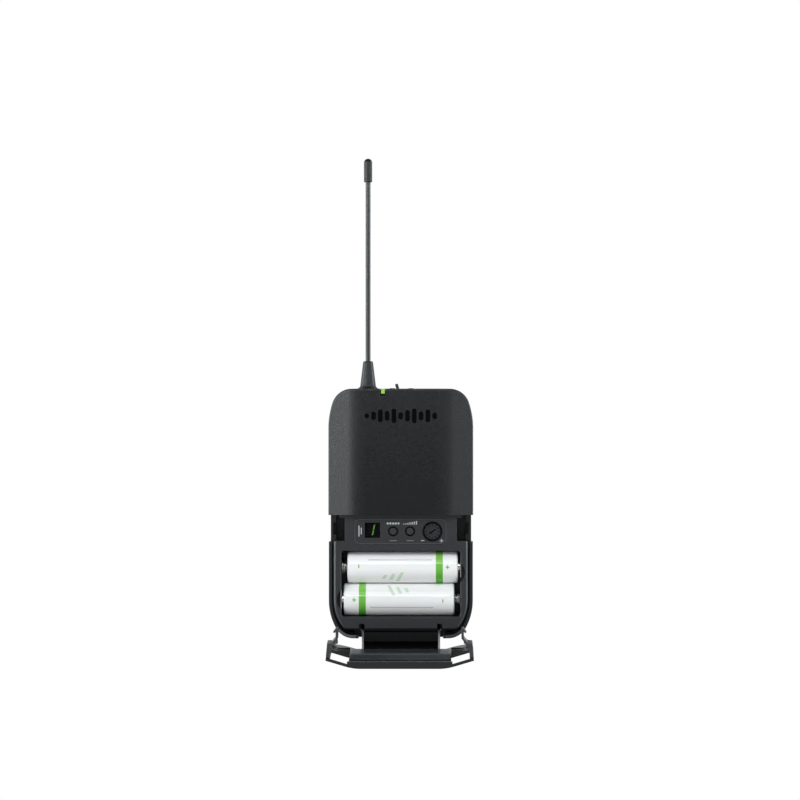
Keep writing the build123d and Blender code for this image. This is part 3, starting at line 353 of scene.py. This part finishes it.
# dial: painted shade in its sunk marks and on its rim
mat_dial = moulded("dial_plastic", rgb(42, 44, 46), 0.45, 4200, 0.12, 0.06 * MM, edge_wear_and_highlight=0.8, spec=0.2, polish_and_shade=dial_recess_shade)
mat_lever = moulded("lever_plastic", rgb(40, 42, 45), 0.35, 4200, 0.1, edge_wear_and_highlight=0.9)
mat_boot = moulded("boot_rubber", rgb(24, 27, 29), 0.42, 2800, 0.1, spec=0.34)
mat_whip = moulded("whip_coating", rgb(34, 37, 39), 0.34, 4200, 0.02, 0.05 * MM, 0.0)
mat_tip = moulded("tip_plastic", rgb(20, 22, 24), 0.3, 3200, 0.03, spec=0.3)
mat_mark = moulded("mark_black", rgb(1, 1, 1), 0.5, 4200, 0.1, 0.02 * MM, 0.0, 0.05)
mat_display = moulded("display_filter", rgb(20, 17, 21), 0.5, 4200, 0.05, 0.02 * MM, 0.0, 0.05)
mat_nickel = metal("nickel_plate", (0.66, 0.65, 0.62), 0.22)
mat_spring = metal("spring_nickel", (0.78, 0.78, 0.76), 0.12)
mat_steel = metal("drawn_steel", (0.62, 0.62, 0.61), 0.28, (1, 1, 12))
mat_can = metal("can_steel", (0.74, 0.74, 0.73), 0.2, (12, 1, 1))
mat_brass = metal("turned_brass", (0.76, 0.58, 0.28), 0.26)
mat_gold = metal("gold_plate", (0.92, 0.7, 0.32), 0.18)
mat_tin = metal("tin_sheet", (0.72, 0.72, 0.7), 0.34)
mat_clip = moulded("coated_wire", rgb(30, 31, 33), 0.34, 3600, 0.12, edge_wear_and_highlight=0.2)
mat_screw = metal("screw_black_oxide", (0.09, 0.09, 0.095), 0.34)
mat_board = glossy("solder_mask", (0.012, 0.09, 0.035), 0.28, 0.3)
mat_chip = moulded("chip_package", rgb(30, 30, 32), 0.55, 4200, 0.2)
mat_switch = moulded("switch_body", rgb(34, 34, 36), 0.45, 4200, 0.15)
mat_insert = moulded("insulator", rgb(20, 20, 21), 0.5, 3600, 0.15)
mat_ring = moulded("cell_washer", rgb(226, 227, 224), 0.6, 3600, 0.15, edge_wear_and_highlight=0.0)
mat_lit = lit("lit_strokes", (0.05, 0.25, 0.03), rgb(146, 196, 66), 0.45)
mat_lamp = lit("lamp_green", (0.1, 0.5, 0.05), rgb(130, 220, 50), 1.2)

k = Tree("light_pipe_green_edged")
px, py, pz = k.xyz()
core = k.math("MULTIPLY", span(k, px, -7.85 - 0.78, -7.85 + 0.78), k.math("GREATER_THAN", pz, 52.75 * MM))
k.link(k.mix(core, (0.003, 0.004, 0.003, 1), (0.10, 0.25, 0.04, 1)), k.bsdf.inputs["Base Color"])
k.link(k.math("MULTIPLY", core, 0.6), k.bsdf.inputs["Emission Strength"])
k.bsdf.inputs["Emission Color"].default_value = rgb(150, 208, 60)
k.bsdf.inputs["Roughness"].default_value = 0.25
mat_pipe = k.mat

window = Tree("window_smoke")
window.link(window.mix(window.noise(200, 2), (0.002, 0.0024, 0.0024, 1), (0.004, 0.0046, 0.0046, 1)), window.bsdf.inputs["Base Color"])
window.bsdf.inputs["Roughness"].default_value = 0.12
window.bsdf.inputs["Alpha"].default_value = 0.2
window.bsdf.inputs["IOR"].default_value = 1.2

FINISH = {
    "rear_housing": mat_rear, "chassis_frame": mat_chassis, "top_cover": mat_cover, "front_mark": mat_mark,
    "panel_overlay": mat_panel, "display_window": window.mat, "display_module": mat_display, "digit_segments": mat_lit,
    "group_button": mat_button, "channel_button": mat_button, "group_switch": mat_switch, "channel_switch": mat_switch,
    "gain_dial": mat_dial, "gain_pot_body": mat_switch, "main_board": mat_board, "rf_shield": mat_tin, "board_chips": mat_chip,
    "status_led": mat_lamp, "light_pipe": mat_pipe, "power_switch_body": mat_switch, "power_lever": mat_lever,
    "jack_sleeve": mat_nickel, "jack_insert": mat_insert, "jack_pins": mat_gold, "jack_nut": mat_steel,
    "aerial_socket": mat_brass, "aerial_boot": mat_boot, "aerial_whip": mat_whip, "aerial_tip": mat_tip,
    "housing_screws": mat_screw, "board_screws": mat_screw, "positive_plates": mat_nickel, "negative_plates": mat_nickel,
    "hinge_pins": mat_steel, "battery_door": mat_door, "belt_clip": mat_clip,
    "cell_upper_jacket": jacket("jacket_upper", -24.25, 1), "cell_upper_can": mat_can, "cell_upper_ring": mat_ring,
    "cell_lower_jacket": jacket("jacket_lower", -38.65, -1), "cell_lower_can": mat_can, "cell_lower_ring": mat_ring,
    "spring_upper": mat_spring, "spring_lower": mat_spring, "latch_tab_right": mat_tab, "latch_tab_left": mat_tab,
}
for name, mat in FINISH.items():
    mesh = NODES[name].data
    mesh.materials.clear()
    mesh.materials.append(mat)
    for p in mesh.polygons:
        p.material_index = 0


# ------------------------------------------------------------------ added pieces
def piece(name, verts, faces, mat, body):
    mesh = bpy.data.meshes.new(name)
    mesh.from_pydata([Vector(v) * MM for v in verts], [], faces)
    mesh.validate()
    bm = bmesh.new()
    bm.from_mesh(mesh)
    bmesh.ops.recalc_face_normals(bm, faces=bm.faces)
    bm.to_mesh(mesh)
    bm.free()
    mesh.materials.append(mat)
    o = bpy.data.objects.new(name, mesh)
    scene.collection.objects.link(o)
    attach(o, body)
    return o


def prism(loops, y_front, y_back):
    """Thin solids in the front plane: every loop of (x, z) becomes a closed plate between two y planes."""
    verts, faces = [], []
    for loop in loops:
        n, b = len(loop), len(verts)
        verts += [(x, y_front, z) for x, z in loop] + [(x, y_back, z) for x, z in loop]
        faces += [tuple(range(b, b + n)), tuple(range(b + 2 * n - 1, b + n - 1, -1))]
        faces += [(b + i, b + (i + 1) % n, b + n + (i + 1) % n, b + n + i) for i in range(n)]
    return verts, faces


def bar(cx, cz, w, h, turn=0.0):
    c, s = math.cos(math.radians(turn)), math.sin(math.radians(turn))
    return [(cx + u * c - v * s, cz + u * s + v * c) for u, v in ((-w / 2, -h / 2), (w / 2, -h / 2), (w / 2, h / 2), (-w / 2, h / 2))]


def dot(cx, cz, r, n=20):
    return [(cx + r * math.cos(2 * math.pi * i / n), cz + r * math.sin(2 * math.pi * i / n)) for i in range(n)]


def rounded(cx, cz, w, h, r, n=10):
    pts = []
    for qx, qz, a0 in ((1, 1, 0), (-1, 1, 90), (-1, -1, 180), (1, -1, 270)):
        for i in range(n + 1):
            a = math.radians(a0 + 90 * i / n)
            pts.append((cx + qx * (w / 2 - r) + r * math.cos(a), cz + qz * (h / 2 - r) + r * math.sin(a)))
    return pts


def ring_prism(outer, inner, y_front, y_back):
    n = len(outer)
    verts = [(x, y_front, z) for x, z in outer] + [(x, y_front, z) for x, z in inner]
    verts += [(x, y_back, z) for x, z in outer] + [(x, y_back, z) for x, z in inner]
    faces = []
    for i in range(n):
        j = (i + 1) % n
        faces += [(i, j, n + j, n + i), (2 * n + i, 2 * n + j, 3 * n + j, 3 * n + i), (i, j, 2 * n + j, 2 * n + i), (n + i, n + j, 3 * n + j, 3 * n + i)]
    return verts, faces


mat_print = moulded("panel_print", rgb(176, 180, 184), 0.5, 4200, 0.05, 0.02 * MM, edge_wear_and_highlight=0.0)
mat_print_dim = moulded("panel_print_dim", rgb(104, 110, 116), 0.5, 4200, 0.05, 0.02 * MM, edge_wear_and_highlight=0.0)
mat_ring_black = moulded("ring_black", rgb(2, 2, 2), 0.5, 4200, 0.05, 0.02 * MM, 0.0, 0.1)
mat_line = moulded("panel_line", rgb(74, 78, 82), 0.45, 4200, 0.05, 0.02 * MM, edge_wear_and_highlight=0.0)

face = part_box("panel_overlay")[0][1] / MM
# outline of the panel
v, f = ring_prism(rounded(-0.15, -8.27, 40.7, 10.8, 2.4), rounded(-0.15, -8.27, 40.35, 10.45, 2.22), face - 0.02, face + 0.05)
piece("panel_outline", v, f, mat_line, "housing")
# minus and plus beside the dial
v, f = prism([bar(9.72, -12.35, 1.5, 0.3)], face - 0.02, face + 0.05)
piece("dial_minus", v, f, mat_print, "housing")
px, pz = 18.05, -12.4
v, f = prism([[(px - .75, pz - .15), (px - .15, pz - .15), (px - .15, pz - .75), (px + .15, pz - .75), (px + .15, pz - .15), (px + .75, pz - .15), (px + .75, pz + .15), (px + .15, pz + .15), (px + .15, pz + .75), (px - .15, pz + .75), (px - .15, pz + .15), (px - .75, pz + .15)]], face - 0.02, face + 0.05)
piece("dial_plus", v, f, mat_print, "housing")
# generic pictographs: a row of dots over one key, rising bars over the other, and a tick under each
v, f = prism([dot(-3.4 + 1.2 * i, -4.75, 0.45) for i in (-2, -1, 0, 1, 2)], face - 0.02, face + 0.05)
piece("key_mark_left", v, f, mat_print, "housing")
v, f = prism([bar(4.1 + 0.95 * i, -4.75 + 0.1 * i, 0.48, 0.95 + 0.2 * i) for i in (-3, -2, -1, 0, 1, 2, 3)], face - 0.02, face + 0.05)
piece("key_mark_right", v, f, mat_print, "housing")
v, f = prism([bar(-3.4, -12.35, 3.2, 0.34), bar(4.1, -12.35, 3.2, 0.34)], face - 0.02, face + 0.05)
piece("key_ticks", v, f, mat_print_dim, "housing")
# black rings round the two keys; the ring round the dial is painted shade, a sheet over the shaded gap round the dial
for tag, cx, cz, ri, ro in (("left", -3.4, -8.2, 2.1, 2.25), ("right", 4.1, -8.2, 2.1, 2.25), ("dial", 14.0, -8.3, 4.1, 4.45)):
    v, f = ring_prism(dot(cx, cz, ro, 48), dot(cx, cz, ri, 48), face - 0.02, face + 0.05)
    piece("ring_" + tag, v, f, mat_ring_black, "housing")
# two fine vertical strokes at the panel's left end
v, f = prism([bar(-18.5, -8.1, 0.42, 4.8), bar(-17.5, -8.1, 0.42, 3.0)], face - 0.02, face + 0.05)
piece("panel_side_mark", v, f, mat_print, "housing")


# ------------------------------------------------------------------ stage, world, light and camera
def emitter(name, size, colour, strength, loc, rot, camera=True):
    mesh = bpy.data.meshes.new(name)
    w, h = size[0] / 2, size[1] / 2
    mesh.from_pydata([(-w, -h, 0), (w, -h, 0), (w, h, 0), (-w, h, 0)], [], [(0, 1, 2, 3)])
    m = bpy.data.materials.new(name)
    m.use_nodes = True
    m.node_tree.nodes.clear()
    e = m.node_tree.nodes.new("ShaderNodeEmission")
    e.inputs[0].default_value, e.inputs[1].default_value = colour, strength
    o = m.node_tree.nodes.new("ShaderNodeOutputMaterial")
    m.node_tree.links.new(e.outputs[0], o.inputs[0])
    seen = m.node_tree.nodes.new("ShaderNodeLightPath")
    dim = m.node_tree.nodes.new("ShaderNodeMapRange")
    dim.inputs["To Min"].default_value, dim.inputs["To Max"].default_value = strength * 0.75, strength
    m.node_tree.links.new(seen.outputs["Is Camera Ray"], dim.inputs["Value"])
    m.node_tree.links.new(dim.outputs["Result"], e.inputs[1])
    mesh.materials.append(m)
    ob = bpy.data.objects.new(name, mesh)
    ob.location, ob.rotation_euler = loc, rot
    ob.visible_camera = camera
    scene.collection.objects.link(ob)
    return ob


emitter("pale_floor", (6, 6), (1, 1, 1, 1), 1.0, (0, 0, -0.085), (0, 0, 0))

world = bpy.data.worlds.new("studio")
scene.world = world
world.use_nodes = True
wt = world.node_tree
wt.nodes.clear()
tc = wt.nodes.new("ShaderNodeTexCoord")
sep = wt.nodes.new("ShaderNodeSeparateXYZ")
wt.links.new(tc.outputs["Generated"], sep.inputs[0])
mr = wt.nodes.new("ShaderNodeMapRange")
mr.inputs["From Min"].default_value, mr.inputs["From Max"].default_value = -0.15, 0.6
mr.inputs["To Min"].default_value, mr.inputs["To Max"].default_value = 0.02, 0.95
wt.links.new(sep.outputs["Y"], mr.inputs["Value"])
soft = wt.nodes.new("ShaderNodeBackground")
wt.links.new(mr.outputs["Result"], soft.inputs["Strength"])
white = wt.nodes.new("ShaderNodeBackground")
white.inputs[0].default_value, white.inputs[1].default_value = (1, 1, 1, 1), 1.0
lp = wt.nodes.new("ShaderNodeLightPath")
mx = wt.nodes.new("ShaderNodeMixShader")
wt.links.new(lp.outputs["Is Camera Ray"], mx.inputs[0])
wt.links.new(soft.outputs[0], mx.inputs[1])
wt.links.new(white.outputs[0], mx.inputs[2])
wo = wt.nodes.new("ShaderNodeOutputWorld")
wt.links.new(mx.outputs[0], wo.inputs[0])


def area(name, size, power, loc, aim=(0, 0, 0)):
    light = bpy.data.lights.new(name, "AREA")
    light.shape = "RECTANGLE"
    light.size, light.size_y = size
    light.energy = power
    light.color = (0.94, 0.98, 1.0)
    ob = bpy.data.objects.new(name, light)
    ob.location = loc
    ob.rotation_euler = (Vector(aim) - Vector(loc)).to_track_quat("-Z", "Y").to_euler()
    scene.collection.objects.link(ob)
    return ob


area("box_left", (0.7, 1.4), 23, (-1.2, -1.12, 0.12))
area("box_right", (0.6, 1.3), 7.6, (1.25, -1.1, 0.12))
area("box_top", (0.4, 0.14), 0.5, (0, -0.27, 0.22), (0, 0, 0.06))
area("strip_front", (0.2, 0.09), 1.1, (0, -1.12, 0.55), (0, 0, -0.03))
area("side_left", (0.5, 1.3), 24, (-1.5, 0.1, 0.15))
area("side_right", (0.5, 1.3), 22, (1.5, 0.1, 0.15))

cam = bpy.data.cameras.new("camera")
cam.lens, cam.sensor_width = 188.5, 36.0
cam.clip_start, cam.clip_end = 0.01, 50
cam_ob = bpy.data.objects.new("camera", cam)
cam_ob.location = (0.020, -1.871, 0.0499)
cam.shift_x = -0.02034 / 0.35398
cam_ob.rotation_euler = (math.pi / 2, 0, 0)
scene.collection.objects.link(cam_ob)
scene.camera = cam_ob
